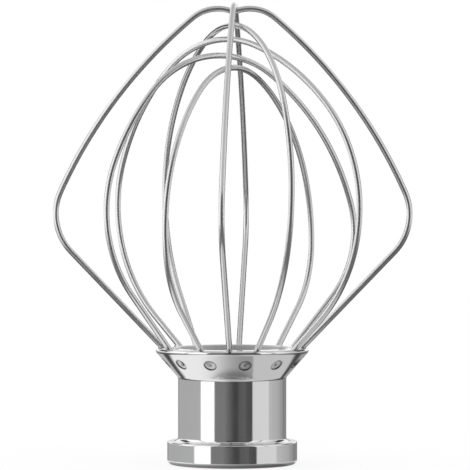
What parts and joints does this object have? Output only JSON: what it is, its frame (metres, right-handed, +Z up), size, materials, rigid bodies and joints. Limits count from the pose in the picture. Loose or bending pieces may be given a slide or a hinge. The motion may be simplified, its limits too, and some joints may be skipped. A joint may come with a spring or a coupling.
{
  "type": "stand mixer wire whisk",
  "caption": "Balloon-shaped wire whisk for a stand mixer: bent wires in a polished flared hub with a bayonet socket for the shaft.",
  "frame": {"origin": "centre of the hub's base, on the axis of the shaft socket", "axes": "+Z up along the axis from the hub to the crown of the wires, +X along the lower outer wire"},
  "size_m": [0.1144, 0.1144, 0.1467],
  "materials": {
    "hub_metal": "turned and polished",
    "wire_steel": "bright drawn wire"
  },
  "bodies": {
    "root": {"hub": "hub_metal", "outer_wire_lower": "wire_steel", "outer_wire_upper": "wire_steel", "inner_wire_1": "wire_steel", "inner_wire_2": "wire_steel", "inner_wire_3": "wire_steel", "inner_wire_4": "wire_steel"}
  },
  "joints": []
}
